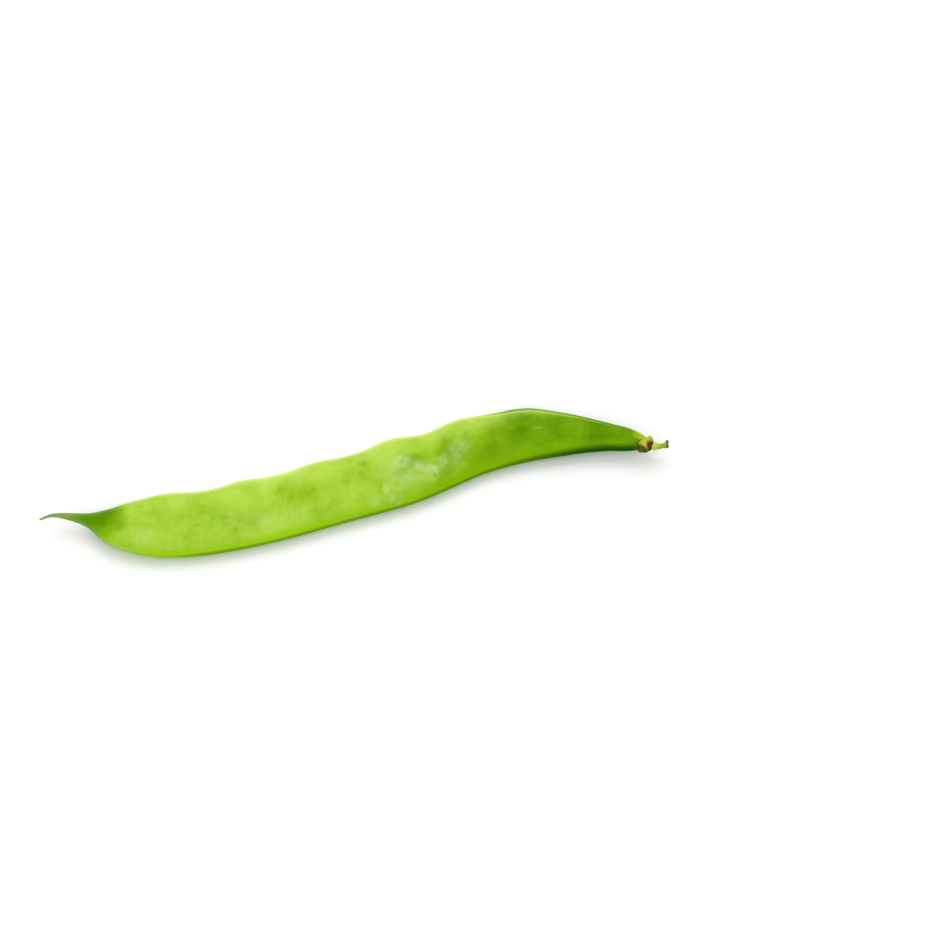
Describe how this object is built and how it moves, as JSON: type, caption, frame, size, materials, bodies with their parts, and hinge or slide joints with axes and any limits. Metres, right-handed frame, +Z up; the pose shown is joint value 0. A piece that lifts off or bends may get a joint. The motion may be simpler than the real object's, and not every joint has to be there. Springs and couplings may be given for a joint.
{
  "type": "flat bean pod",
  "caption": "Picked flat green bean pod with waved upper edge, slender hooked beak, dry calyx cup and short stalk, lying on its broad side.",
  "frame": {"origin": "middle of the footprint, on the surface that the pod lies on", "axes": "+X from the beak to the stalk, +Y towards the waved upper suture, +Z up through both valves"},
  "size_m": [0.2068, 0.0384, 0.0095],
  "materials": {
    "pod_skin": "smooth satin green skin, paler along the upper suture, darker towards the beak and the neck",
    "dry_calyx": "dry papery tan to dark brown, matt",
    "green_stalk": "ribbed yellow-green stalk, brown and fibrous at its broken end, satin"
  },
  "bodies": {
    "root": {"pod": "pod_skin", "calyx": "dry_calyx", "pedicel": "green_stalk"}
  },
  "joints": []
}
